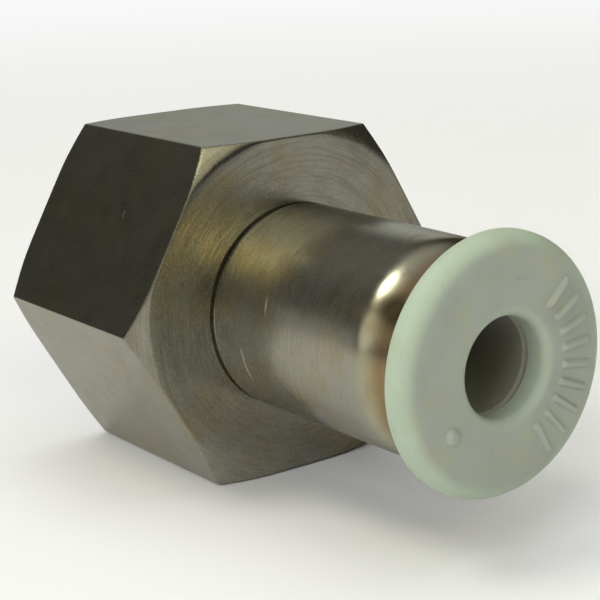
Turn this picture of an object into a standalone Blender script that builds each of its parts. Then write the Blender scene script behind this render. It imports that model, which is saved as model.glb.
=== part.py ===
"""Push-to-connect fitting: 4 mm tube to a G1/4 female thread, straight.

The fitting lies on one flat of its hexagon, with its axis along +X and the release ring at the +X end.
The origin is the centre of its bounding box, at the height of the flat that it lies on.
Lengths are in metres. A profile is a closed loop of (x, radius) points, turned about the fitting's axis,
with x counted from the hexagon's front face, where the barrel starts.
"""

import math

import bmesh
import bpy
from mathutils import Matrix, Vector

MM = 0.001

# Hexagon
ACROSS_FLATS = 16.0 * MM
HEX_LENGTH = 11.5 * MM
CHAMFER_CIRCLE_R = 8.32 * MM
CHAMFER_ANGLE = math.radians(30)
BLANK_R = 9.6 * MM

# Female thread, G1/4
THREAD_MAJOR_R = 6.5785 * MM
THREAD_MINOR_R = 5.7225 * MM
THREAD_CORE_R = 5.62 * MM
THREAD_PITCH = 1.337 * MM
THREAD_CREST = THREAD_PITCH / 6
THREAD_FLANK = math.radians(27.5)
THREAD_DEPTH = 8.1 * MM
THREAD_OVERRUN = 0.5 * MM
THREAD_LEAD_TURNS = 2
ENTRY_R = 6.85 * MM
DRILL_DEPTH = 8.4 * MM
DRILL_POINT_HALF = math.radians(70)

# Flow passage and tube socket
PASSAGE_R = 1.35 * MM
TUBE_STOP_X = -0.6 * MM
SOCKET_R = 2.1 * MM
SOCKET_CHAMFER = 0.25 * MM
CHAMBER_FLOOR_X = 2.0 * MM
CHAMBER_R = 4.1 * MM

# Barrel, with its undercut and its mouth rolled inwards
BARREL_R = 4.85 * MM
BARREL_END_X = 12.05 * MM
UNDERCUT_R = 4.75 * MM
UNDERCUT_WIDTH = 0.18 * MM
ROLL_LENGTH = 1.6 * MM
ROLL_ANGLE = math.radians(26)
ROLL_BLEND = 0.22 * MM
ROLL_RUN_IN = 0.66 * MM
MOUTH_R = 3.75 * MM
MOUTH_LENGTH = 0.3 * MM
MOUTH_CONE_X = 11.35 * MM

# Clearances
SEAT_GAP = 0.3 * MM
RUN_GAP = 0.1 * MM
INNER_R = CHAMBER_R - RUN_GAP

# Release ring; from its flange to the barrel's mouth there is its stroke and the running gap
STROKE = 0.9 * MM
FLANGE_R = 5.65 * MM
FLANGE_X = BARREL_END_X + STROKE + RUN_GAP
FLANGE_THICK = 1.2 * MM
FACE_R = 4.95 * MM
REAR_EDGE = 0.15 * MM
TUBE_HOLE_R = 2.15 * MM
LIP_R = 0.3 * MM
HUB_R = 3.2 * MM
HUB_LENGTH = 0.85 * MM
BEAD_HEIGHT = 0.2 * MM
BEAD_WIDTH = 0.2 * MM

# Raised marks on the face of the release ring: radial ribs and one round pip
RIB_COUNT = 9
RIB_SPREAD = math.radians(104)
RIB_CENTRE = math.radians(-8)
RIB_INNER_R = 3.1 * MM
RIB_OUTER_R = 4.75 * MM
RIB_WIDTH = 0.3 * MM
RIB_HEIGHT = 0.12 * MM
RIB_ROOT = 0.1 * MM
PIP_R = 0.34 * MM
PIP_TOP_R = 0.27 * MM
PIP_AT_R = 3.75 * MM
PIP_ANGLE = math.radians(216)

# Collet
COLLET_R = 2.8 * MM
COLLET_BORE_R = 2.15 * MM
COLLET_NOSE_X = 6.6 * MM
COLLET_NOSE_R = 2.4 * MM
COLLET_NOSE_CONE = 0.8 * MM
COLLAR_X = 7.8 * MM
COLLAR_LENGTH = 0.6 * MM
COLLAR_R = 3.3 * MM
NECK_R = 2.65 * MM
NECK_X = 11.75 * MM
NECK_END_X = 13.0 * MM
NECK_BORE_CHAMFER = 0.2 * MM

# Stack inside the barrel: where each piece starts, and how long it is
SEAL_LENGTH = 1.8 * MM
SEAL_LIP_R = 1.9 * MM
SEAL_GROOVE = 0.45 * MM
SEAL_EDGE = 0.2 * MM
SUPPORT_LENGTH = 1.85 * MM
SUPPORT_FLANGE = 0.6 * MM
SUPPORT_RECESS_R = 2.75 * MM
SUPPORT_MOUTH_R = 3.5 * MM
SEAT_LENGTH = 1.3 * MM
SEAT_BORE_R = 3.4 * MM
BUSH_LENGTH = 3.15 * MM
BUSH_COUNTERBORE = 0.7 * MM
BUSH_COUNTERBORE_R = 3.3 * MM
BUSH_NOSE_R = 3.6 * MM
BUSH_NOSE_LENGTH = 0.2 * MM
BUSH_CONE = 0.4 * MM
EDGE_BREAK = 0.12 * MM

# Claw ring
CLAW_COUNT = 8
CLAW_THICK = 0.25 * MM
CLAW_RIM_R = 3.4 * MM
CLAW_PIVOT_R = 3.2 * MM
CLAW_TIP_R = 1.9 * MM
CLAW_SLOPE = math.radians(38)
CLAW_SLOT = 0.35 * MM
CLAW_CORNER = 0.85

# Where the axis and the hexagon's front face are in the fitting's frame
AXIS_Z = ACROSS_FLATS / 2
FACE_X = (HEX_LENGTH - (FLANGE_X + FLANGE_THICK + RIB_HEIGHT)) / 2

# Smoothness of the turned shapes
TURNED_STEPS = 48
THREAD_STEPS = 40
THREAD_PHASE = 0.37
ARC_STEPS = 4
ROLL_STEPS = 9
RIM_STEPS = 5
CLAW_STEPS = 6
PIP_STEPS = 16
SMOOTH_ANGLE = math.radians(25)

NICKEL = ("nickel_plate", (0.46, 0.43, 0.36, 1.0), 0.32, 1.0)
BRASS = ("brass", (0.62, 0.45, 0.22, 1.0), 0.35, 1.0)
STEEL = ("spring_steel", (0.60, 0.60, 0.58, 1.0), 0.28, 1.0)
GREY_ACETAL = ("grey_acetal", (0.60, 0.65, 0.56, 1.0), 0.5, 0.0)
WHITE_ACETAL = ("white_acetal", (0.80, 0.80, 0.76, 1.0), 0.45, 0.0)
NITRILE = ("nitrile_rubber", (0.02, 0.02, 0.02, 1.0), 0.6, 0.0)


def clear_scene():
    for obj in list(bpy.data.objects):
        bpy.data.objects.remove(obj)


def material(finish):
    name, colour, roughness, metallic = finish
    made = bpy.data.materials.get(name)
    if made is None:
        made = bpy.data.materials.new(name)
        made.use_nodes = True
        shader = made.node_tree.nodes["Principled BSDF"]
        shader.inputs["Base Color"].default_value = colour
        shader.inputs["Roughness"].default_value = roughness
        shader.inputs["Metallic"].default_value = metallic
        made.diffuse_color = colour
    return made


def arc(centre_x, centre_r, radius, start, end, steps=ARC_STEPS):
    """Points of an arc in a profile; its angles are in degrees, from +x towards growing radius."""
    points = []
    for i in range(steps + 1):
        angle = math.radians(start + (end - start) * i / steps)
        points.append((centre_x + radius * math.cos(angle), centre_r + radius * math.sin(angle)))
    return points


def turned_mesh(profile, steps=TURNED_STEPS):
    """A bmesh of the closed profile, spun one full turn about the X axis."""
    bm = bmesh.new()
    loop = [bm.verts.new((x, 0, r)) for x, r in profile]
    edges = [bm.edges.new((loop[i - 1], loop[i])) for i in range(len(loop))]
    bmesh.ops.spin(
        bm,
        geom=loop + edges,
        cent=(0, 0, 0),
        axis=(1, 0, 0),
        angle=2 * math.pi,
        steps=steps,
        use_merge=True,
    )
    bmesh.ops.remove_doubles(bm, verts=bm.verts, dist=1e-7)
    bmesh.ops.dissolve_degenerate(bm, edges=bm.edges, dist=1e-8)
    loose = [edge for edge in bm.edges if not edge.link_faces]
    bmesh.ops.delete(bm, geom=loose, context="EDGES")
    bmesh.ops.recalc_face_normals(bm, faces=bm.faces)
    return bm


def place(bm, name, finish, smooth=True):
    """The bmesh as an object at the fitting's place: its x = 0 on the hexagon's front face."""
    mesh = bpy.data.meshes.new(name)
    bm.to_mesh(mesh)
    bm.free()
    if smooth:
        mesh.shade_smooth()
        mesh.set_sharp_from_angle(angle=SMOOTH_ANGLE)
    mesh.materials.append(material(finish))
    obj = bpy.data.objects.new(name, mesh)
    obj.location = (FACE_X, 0, AXIS_Z)
    bpy.context.scene.collection.objects.link(obj)
    return obj


def combine(target, tool, operation):
    """A Boolean of the target with the tool, which stays in the file as a hidden helper."""
    tool.hide_render = True
    tool.display_type = "WIRE"
    step = target.modifiers.new(tool.name, "BOOLEAN")
    step.operation = operation
    step.solver = "EXACT"
    step.object = tool


def parent_keeping_place(child, parent):
    child.parent = parent
    bpy.context.view_layer.update()
    child.matrix_parent_inverse = parent.matrix_world.inverted()


# Body


def roll_drop(x):
    """How far the rolled end has come inwards at this place: nothing, then softly into a cone."""
    past = (x - BARREL_END_X + ROLL_LENGTH) / ROLL_BLEND
    return math.tan(ROLL_ANGLE) * ROLL_BLEND * math.log1p(math.exp(past))


def body_profile():
    """The body as if its hexagon were a round collar: first along the outside, then back through the bore."""
    run = (BLANK_R - CHAMFER_CIRCLE_R) * math.tan(CHAMFER_ANGLE)
    outside = [
        (-HEX_LENGTH, ENTRY_R),
        (-HEX_LENGTH, CHAMFER_CIRCLE_R),
        (-HEX_LENGTH + run, BLANK_R),
        (-run, BLANK_R),
        (0, CHAMFER_CIRCLE_R),
        (0, UNDERCUT_R),
        (UNDERCUT_WIDTH, UNDERCUT_R),
        (UNDERCUT_WIDTH, BARREL_R),
    ]
    roll_run = ROLL_LENGTH + ROLL_RUN_IN
    outside.append((BARREL_END_X - roll_run, BARREL_R))
    for step in range(1, ROLL_STEPS + 1):
        x = BARREL_END_X - roll_run * (1 - step / ROLL_STEPS)
        outside.append((x, BARREL_R - roll_drop(x)))
    drill_end = -HEX_LENGTH + DRILL_DEPTH
    point = (THREAD_MINOR_R - PASSAGE_R) / math.tan(DRILL_POINT_HALF)
    inside = [
        (BARREL_END_X, MOUTH_R + EDGE_BREAK),
        (BARREL_END_X - EDGE_BREAK, MOUTH_R),
        (BARREL_END_X - MOUTH_LENGTH, MOUTH_R),
        (MOUTH_CONE_X, CHAMBER_R),
        (CHAMBER_FLOOR_X, CHAMBER_R),
        (CHAMBER_FLOOR_X, SOCKET_R + SOCKET_CHAMFER),
        (CHAMBER_FLOOR_X - SOCKET_CHAMFER, SOCKET_R),
        (TUBE_STOP_X, SOCKET_R),
        (TUBE_STOP_X, PASSAGE_R),
        (drill_end + point, PASSAGE_R),
        (drill_end, THREAD_MINOR_R),
        (-HEX_LENGTH + ENTRY_R - THREAD_MINOR_R, THREAD_MINOR_R),
    ]
    return outside + inside


def hexagon_prism():
    """A hexagonal bar longer than the fitting, with two of its flats level."""
    corner_r = ACROSS_FLATS / 2 / math.cos(math.pi / 6)
    length = 4 * HEX_LENGTH
    bm = bmesh.new()
    bmesh.ops.create_cone(bm, cap_ends=True, segments=6, radius1=corner_r, radius2=corner_r, depth=length)
    bmesh.ops.transform(bm, matrix=Matrix.Rotation(math.pi / 2, 4, "Y"), verts=bm.verts)
    return place(bm, "hexagon_prism", NICKEL, smooth=False)


def thread_row(index):
    """(x offset, radius) of one row of the thread's profile; four rows make one pitch."""
    flank = (THREAD_MAJOR_R - THREAD_CORE_R) * math.tan(THREAD_FLANK)
    rise = THREAD_PITCH - 2 * flank - THREAD_CREST
    starts = [0, rise, rise + flank, rise + flank + THREAD_CREST]
    radii = [THREAD_CORE_R, THREAD_CORE_R, THREAD_MAJOR_R, THREAD_MAJOR_R]
    turn, step = divmod(index, 4)
    return turn * THREAD_PITCH + starts[step], radii[step]


def in_plane(edge, x):
    return all(abs(vert.co.x - x) < 1e-6 for vert in edge.verts)


def thread_cutter():
    """A solid tap-shaped core: a helical grid of faces, cut square and closed at both ends."""
    low = -HEX_LENGTH - THREAD_OVERRUN
    high = -HEX_LENGTH + THREAD_DEPTH
    turns = math.ceil((high - low) / THREAD_PITCH) + THREAD_LEAD_TURNS + 1
    rows = 4 * turns
    bm = bmesh.new()
    grid = []
    for step in range(THREAD_STEPS):
        angle = 2 * math.pi * (step + THREAD_PHASE) / THREAD_STEPS
        advance = low + THREAD_PITCH * (step / THREAD_STEPS - THREAD_LEAD_TURNS)
        column = []
        for index in range(rows + 5):
            x, r = thread_row(index)
            column.append(bm.verts.new((advance + x, r * math.cos(angle), r * math.sin(angle))))
        grid.append(column)
    for step in range(THREAD_STEPS):
        last = step == THREAD_STEPS - 1
        following = grid[0] if last else grid[step + 1]
        ahead = 4 if last else 0
        for index in range(rows):
            corners = (
                grid[step][index],
                grid[step][index + 1],
                following[index + 1 + ahead],
                following[index + ahead],
            )
            bm.faces.new(corners)
    for x, side in ((low, -1), (high, 1)):
        geometry = list(bm.verts) + list(bm.edges) + list(bm.faces)
        bmesh.ops.bisect_plane(bm, geom=geometry, plane_co=(x, 0, 0), plane_no=(side, 0, 0), clear_outer=True)
        rim = [edge for edge in bm.edges if edge.is_boundary and in_plane(edge, x)]
        bmesh.ops.holes_fill(bm, edges=rim, sides=0)
    loose = [vert for vert in bm.verts if not vert.link_faces]
    bmesh.ops.delete(bm, geom=loose, context="VERTS")
    bmesh.ops.recalc_face_normals(bm, faces=bm.faces)
    return place(bm, "thread_cutter", NICKEL, smooth=False)


def make_body():
    body = place(turned_mesh(body_profile()), "body", NICKEL)
    combine(body, hexagon_prism(), "INTERSECT")
    combine(body, thread_cutter(), "DIFFERENCE")
    return body


# Pieces that stay still inside the barrel


def make_tube_seal(start):
    """A rubber ring with a lip at each end, a groove between the lips and a groove in each end face."""
    end = start + SEAL_LENGTH
    middle = start + SEAL_LENGTH / 2
    wall_r = (SEAL_LIP_R + INNER_R) / 2
    profile = [
        (start + SEAL_EDGE, SEAL_LIP_R),
        (middle - SEAL_GROOVE / 2, SEAL_LIP_R + SEAL_GROOVE),
        (middle + SEAL_GROOVE / 2, SEAL_LIP_R + SEAL_GROOVE),
        (end - SEAL_EDGE, SEAL_LIP_R),
        (end, SEAL_LIP_R + SEAL_EDGE),
        (end, wall_r - SEAL_GROOVE),
        (end - SEAL_GROOVE, wall_r),
        (end, wall_r + SEAL_GROOVE),
        (end, INNER_R - SEAL_EDGE),
        (end - SEAL_EDGE, INNER_R),
        (start + SEAL_EDGE, INNER_R),
        (start, INNER_R - SEAL_EDGE),
        (start, wall_r + SEAL_GROOVE),
        (start + SEAL_GROOVE, wall_r),
        (start, wall_r - SEAL_GROOVE),
        (start, SEAL_LIP_R + SEAL_EDGE),
    ]
    return place(turned_mesh(profile), "tube_seal", NITRILE)


def make_support_ring(start):
    """Backs the seal with a flange, and opens in a cone where the claws swing."""
    end = start + SUPPORT_LENGTH
    profile = [
        (start, TUBE_HOLE_R + EDGE_BREAK),
        (start + EDGE_BREAK, TUBE_HOLE_R),
        (start + SUPPORT_FLANGE, TUBE_HOLE_R),
        (start + SUPPORT_FLANGE, SUPPORT_RECESS_R),
        (end, SUPPORT_MOUTH_R),
        (end, INNER_R - EDGE_BREAK),
        (end - EDGE_BREAK, INNER_R),
        (start + EDGE_BREAK, INNER_R),
        (start, INNER_R - EDGE_BREAK),
    ]
    return place(turned_mesh(profile), "support_ring", WHITE_ACETAL)


def make_claw_rim(start):
    end = start + CLAW_THICK
    profile = [(start, CLAW_RIM_R), (end, CLAW_RIM_R), (end, INNER_R), (start, INNER_R)]
    return place(turned_mesh(profile), "claw_rim", STEEL)


def make_claw_seat(start):
    end = start + SEAT_LENGTH
    profile = [
        (start, SEAT_BORE_R + EDGE_BREAK),
        (start + EDGE_BREAK, SEAT_BORE_R),
        (end - EDGE_BREAK, SEAT_BORE_R),
        (end, SEAT_BORE_R + EDGE_BREAK),
        (end, INNER_R - EDGE_BREAK),
        (end - EDGE_BREAK, INNER_R),
        (start + EDGE_BREAK, INNER_R),
        (start, INNER_R - EDGE_BREAK),
    ]
    return place(turned_mesh(profile), "claw_seat", BRASS)


def make_retaining_bush(start):
    """Guides the collet; its counterbore takes the ring's hub, and its cone sits behind the rolled mouth."""
    end = start + BUSH_LENGTH
    bore_r = COLLET_R + RUN_GAP
    cone_end = end - BUSH_NOSE_LENGTH
    profile = [
        (start, bore_r + EDGE_BREAK),
        (start + EDGE_BREAK, bore_r),
        (end - BUSH_COUNTERBORE, bore_r),
        (end - BUSH_COUNTERBORE, BUSH_COUNTERBORE_R),
        (end, BUSH_COUNTERBORE_R),
        (end, BUSH_NOSE_R),
        (cone_end, BUSH_NOSE_R),
        (cone_end - BUSH_CONE, INNER_R),
        (start + EDGE_BREAK, INNER_R),
        (start, INNER_R - EDGE_BREAK),
    ]
    return place(turned_mesh(profile), "retaining_bush", BRASS)


# Claws


def claw_outline():
    """The claw's flat outline, as (distance from the pivot along the claw, sideways) points."""
    half_pitch = math.pi / CLAW_COUNT
    side_cut = CLAW_SLOT / 2 / math.cos(half_pitch)
    points = []
    for edge_r, turn in ((CLAW_PIVOT_R, 1), (CLAW_TIP_R, -1)):
        corner_r = edge_r * math.cos(half_pitch * CLAW_CORNER)
        half_width = corner_r * math.tan(half_pitch) - side_cut
        for i in range(CLAW_STEPS + 1):
            sideways = turn * half_width * (2 * i / CLAW_STEPS - 1)
            radial = math.sqrt(edge_r**2 - sideways**2)
            points.append(((CLAW_PIVOT_R - radial) / math.cos(CLAW_SLOPE), sideways))
    return points


def claw_mesh():
    """One claw, with its origin on its hinge: +Y points out from the fitting's axis, Z is along the hinge."""
    bm = bmesh.new()
    along = Vector((-math.sin(CLAW_SLOPE), -math.cos(CLAW_SLOPE), 0))
    across = Vector((math.cos(CLAW_SLOPE), -math.sin(CLAW_SLOPE), 0))
    outline = []
    for distance, sideways in claw_outline():
        point = along * distance - across * (CLAW_THICK / 2) + Vector((0, 0, sideways))
        outline.append(bm.verts.new(point))
    plate = bm.faces.new(outline)
    raised = bmesh.ops.extrude_face_region(bm, geom=[plate])["geom"]
    moved = [item for item in raised if isinstance(item, bmesh.types.BMVert)]
    bmesh.ops.translate(bm, verts=moved, vec=across * CLAW_THICK)
    bmesh.ops.recalc_face_normals(bm, faces=bm.faces)
    mesh = bpy.data.meshes.new("claw")
    bm.to_mesh(mesh)
    bm.free()
    mesh.materials.append(material(STEEL))
    return mesh


def make_claws(rim_start):
    mesh = claw_mesh()
    pivot_x = FACE_X + rim_start + CLAW_THICK / 2
    for index in range(CLAW_COUNT):
        angle = 2 * math.pi * index / CLAW_COUNT
        claw = bpy.data.objects.new(f"claw_{index + 1}", mesh)
        claw.location = (
            pivot_x,
            CLAW_PIVOT_R * math.cos(angle),
            AXIS_Z + CLAW_PIVOT_R * math.sin(angle),
        )
        claw.rotation_euler = (angle, 0, 0)
        bpy.context.scene.collection.objects.link(claw)


# Pieces that move along the axis


def make_collet():
    """Release sleeve: cone nose, collar that stops it behind the bush, and a grooved neck for the ring."""
    groove_x = FLANGE_X - HUB_LENGTH + BEAD_WIDTH
    groove_r = NECK_R - BEAD_HEIGHT
    profile = [
        (COLLET_NOSE_X, COLLET_BORE_R),
        (COLLET_NOSE_X, COLLET_NOSE_R),
        (COLLET_NOSE_X + COLLET_NOSE_CONE, COLLET_R),
        (COLLAR_X, COLLET_R),
        (COLLAR_X, COLLAR_R),
        (COLLAR_X + COLLAR_LENGTH, COLLAR_R),
        (COLLAR_X + COLLAR_LENGTH, COLLET_R),
        (NECK_X, COLLET_R),
        (NECK_X, NECK_R),
        (groove_x - BEAD_WIDTH, NECK_R),
        (groove_x - BEAD_WIDTH, groove_r),
        (groove_x + 2 * BEAD_WIDTH, groove_r),
        (groove_x + 2 * BEAD_WIDTH, NECK_R),
        (NECK_END_X - EDGE_BREAK, NECK_R),
        (NECK_END_X, NECK_R - EDGE_BREAK),
        (NECK_END_X, COLLET_BORE_R + NECK_BORE_CHAMFER),
        (NECK_END_X - NECK_BORE_CHAMFER, COLLET_BORE_R),
    ]
    return place(turned_mesh(profile), "collet", BRASS)


def release_ring_profile():
    """Flange with a soft front edge, tube hole with a rounded lip, and the hub with its snap bead."""
    front = FLANGE_X + FLANGE_THICK
    rim_radius = FLANGE_R - FACE_R
    hub_end = FLANGE_X - HUB_LENGTH
    socket_r = NECK_R + RUN_GAP
    bead_r = socket_r - BEAD_HEIGHT
    bead_x = hub_end + BEAD_WIDTH
    shoulder_x = NECK_END_X + RUN_GAP
    profile = [(FLANGE_X, HUB_R), (FLANGE_X, FLANGE_R - REAR_EDGE), (FLANGE_X + REAR_EDGE, FLANGE_R)]
    profile += arc(front - rim_radius, FACE_R, rim_radius, 90, 0, RIM_STEPS)
    profile += arc(front - LIP_R, TUBE_HOLE_R + LIP_R, LIP_R, 0, -90)
    profile += [
        (shoulder_x, TUBE_HOLE_R),
        (shoulder_x, socket_r),
        (bead_x + BEAD_WIDTH, socket_r),
        (bead_x + BEAD_WIDTH, bead_r),
        (bead_x, bead_r),
        (bead_x, socket_r),
        (hub_end, socket_r),
        (hub_end, HUB_R),
    ]
    return profile


def radial_rib(angle):
    """A raised rib on the flange's face, lying along a radius."""
    front = FLANGE_X + FLANGE_THICK
    bm = bmesh.new()
    bmesh.ops.create_cube(bm, size=1)
    size = Vector((RIB_HEIGHT + RIB_ROOT, RIB_OUTER_R - RIB_INNER_R, RIB_WIDTH))
    bmesh.ops.scale(bm, vec=size, verts=bm.verts)
    centre = Vector((front + (RIB_HEIGHT - RIB_ROOT) / 2, (RIB_OUTER_R + RIB_INNER_R) / 2, 0))
    bmesh.ops.translate(bm, vec=centre, verts=bm.verts)
    bmesh.ops.rotate(bm, cent=(0, 0, 0), matrix=Matrix.Rotation(angle, 3, "X"), verts=bm.verts)
    return bm


def round_pip():
    """A raised round dot on the flange's face."""
    front = FLANGE_X + FLANGE_THICK
    bm = bmesh.new()
    bmesh.ops.create_cone(
        bm, cap_ends=True, segments=PIP_STEPS, radius1=PIP_R, radius2=PIP_TOP_R, depth=RIB_HEIGHT + RIB_ROOT
    )
    stand = Matrix.Rotation(math.pi / 2, 4, "Y")
    move = Matrix.Translation((front + (RIB_HEIGHT - RIB_ROOT) / 2, PIP_AT_R, 0))
    turn = Matrix.Rotation(PIP_ANGLE, 4, "X")
    bmesh.ops.transform(bm, matrix=turn @ move @ stand, verts=bm.verts)
    return bm


def make_release_ring():
    ring = place(turned_mesh(release_ring_profile()), "release_ring", GREY_ACETAL)
    for index in range(RIB_COUNT):
        angle = RIB_CENTRE + RIB_SPREAD * (index / (RIB_COUNT - 1) - 0.5)
        combine(ring, place(radial_rib(angle), f"rib_{index + 1}", GREY_ACETAL, smooth=False), "UNION")
    combine(ring, place(round_pip(), "pip", GREY_ACETAL, smooth=False), "UNION")
    return ring


def main():
    clear_scene()
    make_body()
    seal_x = CHAMBER_FLOOR_X + SEAT_GAP
    support_x = seal_x + SEAL_LENGTH + SEAT_GAP
    rim_x = support_x + SUPPORT_LENGTH + SEAT_GAP
    seat_x = rim_x + CLAW_THICK + SEAT_GAP
    bush_x = seat_x + SEAT_LENGTH + SEAT_GAP
    make_tube_seal(seal_x)
    make_support_ring(support_x)
    make_claw_rim(rim_x)
    make_claws(rim_x)
    make_claw_seat(seat_x)
    make_retaining_bush(bush_x)
    collet = make_collet()
    release_ring = make_release_ring()
    parent_keeping_place(release_ring, collet)


main()
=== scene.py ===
"""Looks of the push to connect fitting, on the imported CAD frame.

The metal body, the release ring, the collet and the claws get finer meshes; the other nodes keep their
CAD shape. Profiles are closed loops of (x, radius) points in millimetres, turned about the fitting's axis.
x is counted from the hexagon's front face, where the barrel starts, and grows towards the release ring.
"""

import math

import bpy  # noqa: E402
from mathutils import Matrix, Vector  # noqa: E402


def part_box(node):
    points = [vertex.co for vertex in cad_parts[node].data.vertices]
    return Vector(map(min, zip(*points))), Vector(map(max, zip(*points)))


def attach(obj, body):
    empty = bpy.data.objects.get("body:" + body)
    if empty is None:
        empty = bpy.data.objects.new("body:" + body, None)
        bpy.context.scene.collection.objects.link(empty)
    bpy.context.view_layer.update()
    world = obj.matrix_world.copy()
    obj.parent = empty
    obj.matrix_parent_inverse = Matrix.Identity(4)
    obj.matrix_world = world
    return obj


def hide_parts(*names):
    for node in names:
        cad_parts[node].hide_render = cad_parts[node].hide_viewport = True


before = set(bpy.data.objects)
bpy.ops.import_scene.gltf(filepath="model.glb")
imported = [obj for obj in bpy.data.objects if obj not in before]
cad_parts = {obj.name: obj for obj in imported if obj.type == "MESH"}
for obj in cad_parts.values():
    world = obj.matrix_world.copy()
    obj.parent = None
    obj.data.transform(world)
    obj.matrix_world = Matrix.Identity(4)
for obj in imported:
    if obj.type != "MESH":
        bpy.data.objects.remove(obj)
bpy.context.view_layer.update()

MM = 0.001

# Hexagon. SOFT_EDGE is how gently its end faces turn into the chamfer. Outside FACE_FROM_R the mesh follows
# the hexagon's outline, and inside it the mesh is evenly spread round the axis.
APOTHEM = 8.0
HEX_LENGTH = 11.5
CHAMFER_CIRCLE = 8.32
CHAMFER_ANGLE = math.radians(30)
HEX_CORNER_FILLET = 0.09
CHAMFER_FILLET = 0.06
SOFT_EDGE = 0.11
FACE_FROM_R = 7.2
FACE_ROWS = 12
FILLET_STEPS = 3
HEX_CORNER_STEPS = 6
FLAT_STEPS = 16
CONTACT_ROUNDS = 20

# Thread, G1/4
MAJOR_R = 6.5785
MINOR_R = 5.7225
PITCH = 1.337
FLANK = math.radians(27.5)
THREAD_DEPTH = 8.1
RUNOUT = 0.5
ENTRY_R = 6.85
DRILL_DEPTH = 8.4
DRILL_POINT_HALF = math.radians(70)
ROWS_PER_PITCH = 22

# Barrel and bores
BARREL_R = 4.85
BARREL_END = 12.05
BARREL_PLAIN_FROM = 0.4
BARREL_ROWS = 9
UNDERCUT_R = 4.75
UNDERCUT_WIDTH = 0.18
UNDERCUT_LIP = 0.012
ROLL_LENGTH = 1.6
ROLL_ANGLE = math.radians(26)
ROLL_BLEND = 0.22
ROLL_BLENDS_AHEAD = 4
ROLL_STEPS = 20
ROLL_NOSE = 0.06
ROLL_NOSE_START = 0.08
MOUTH_R = 3.75
MOUTH_LENGTH = 0.3
MOUTH_CONE_END = 0.7
CHAMBER_R = 4.1
CHAMBER_FLOOR = 2.0
SOCKET_R = 2.1
SOCKET_CHAMFER = 0.25
TUBE_STOP = -0.6
PASSAGE_R = 1.35
BORE_EDGE = 0.05

# Release ring, with nine ribs and a pip on its face
FLANGE_X = 13.05
FLANGE_THICK = 1.2
FLANGE_R = 5.65
FACE_R = 4.95
FACE_DISH = 0.05
HOLE_R = 2.15
SHOULDER_X = 13.1
HUB_R = 3.2
HUB_LENGTH = 0.85
RING_FILLET_STEPS = 8
RING_STEPS = 160
RIB_COUNT = 9
RIB_SPAN = math.radians(104)
RIB_MIDDLE = math.radians(-8)
RIB_LENGTH = 1.7
RIB_WIDTH = 0.42
RIB_CENTRE_R = 3.9
PIP_R = 0.40
PIP_CENTRE_R = 3.75
PIP_ANGLE = math.radians(216)
MARK_HEIGHT = 0.21
MARK_SINK = 0.03

# Collet and claws
COLLET_R = 2.8
COLLET_BORE = 2.15
COLLET_NOSE_X = 6.6
COLLET_EDGE = 0.03
COLLAR_R = 3.3
COLLAR_X = (7.8, 8.4)
NECK_R = 2.65
NECK_X = (11.75, 13.0)
NECK_GROOVE_X = (12.2, 12.8)
NECK_GROOVE_DEPTH = 0.2
NECK_PLAY = 0.1
COLLET_STEPS = 96
CLAW_COUNT = 8
CLAW_THICK = 0.25
CLAW_PIVOT_X = 6.675
CLAW_PIVOT_R = 3.2
CLAW_TIP_R = 1.9
CLAW_SLOPE = math.radians(38)
CLAW_SLOT = 0.35
CLAW_ARC_STEPS = 6
CLAW_ARC_SHARE = 0.85

# Where the axis and the hexagon's front face are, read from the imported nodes
AXIS_Z = sum(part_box("body")[i].z for i in (0, 1)) / 2
FACE_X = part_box("body")[0].x + HEX_LENGTH * MM
PLACE = Matrix.Translation((FACE_X, 0, AXIS_Z))


# Mesh helpers


def fillet(points, steps=FILLET_STEPS):
    """An open profile from (x, r, radius) corners, each rounded by an arc; a radius of 0 leaves one point."""
    made = []
    for i, (x, r, radius) in enumerate(points):
        corner = Vector((x, r))
        if not radius or i in (0, len(points) - 1):
            made.append((x, r))
            continue
        before = (Vector(points[i - 1][:2]) - corner).normalized()
        after = (Vector(points[i + 1][:2]) - corner).normalized()
        half = before.angle(after) / 2
        centre = corner + (before + after).normalized() * (radius / math.sin(half))
        start = corner + before * (radius / math.tan(half)) - centre
        end = corner + after * (radius / math.tan(half)) - centre
        sweep = start.angle_signed(end)
        for step in range(steps + 1):
            turn = -sweep * step / steps
            along = start.x * math.cos(turn) - start.y * math.sin(turn)
            up = start.x * math.sin(turn) + start.y * math.cos(turn)
            made.append(tuple(centre + Vector((along, up))))
    return made


def column_mesh(name, columns, zones=None):
    """A closed surface from columns of (x, y, z) points. Each column is a closed loop, and so is their row.

    zones gives each row of faces its material slot.
    """
    rows = len(columns[0])
    verts = [(x * MM, y * MM, z * MM) for column in columns for x, y, z in column]
    faces = []
    kinds = []
    for j in range(len(columns)):
        following = (j + 1) % len(columns)
        for i in range(rows):
            above = (i + 1) % rows
            here = (j * rows, following * rows)
            faces.append((here[0] + i, here[1] + i, here[1] + above, here[0] + above))
            kinds.append(zones[i] if zones else 0)
    mesh = bpy.data.meshes.new(name)
    mesh.from_pydata(verts, [], faces)
    mesh.polygons.foreach_set("material_index", kinds)
    mesh.update()
    return mesh


def turned(name, profile, steps):
    """A mesh of the closed profile, turned about the X axis."""
    columns = []
    for j in range(steps):
        angle = 2 * math.pi * j / steps
        columns.append([(x, r * math.cos(angle), r * math.sin(angle)) for x, r in profile])
    return column_mesh(name, columns)


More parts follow.
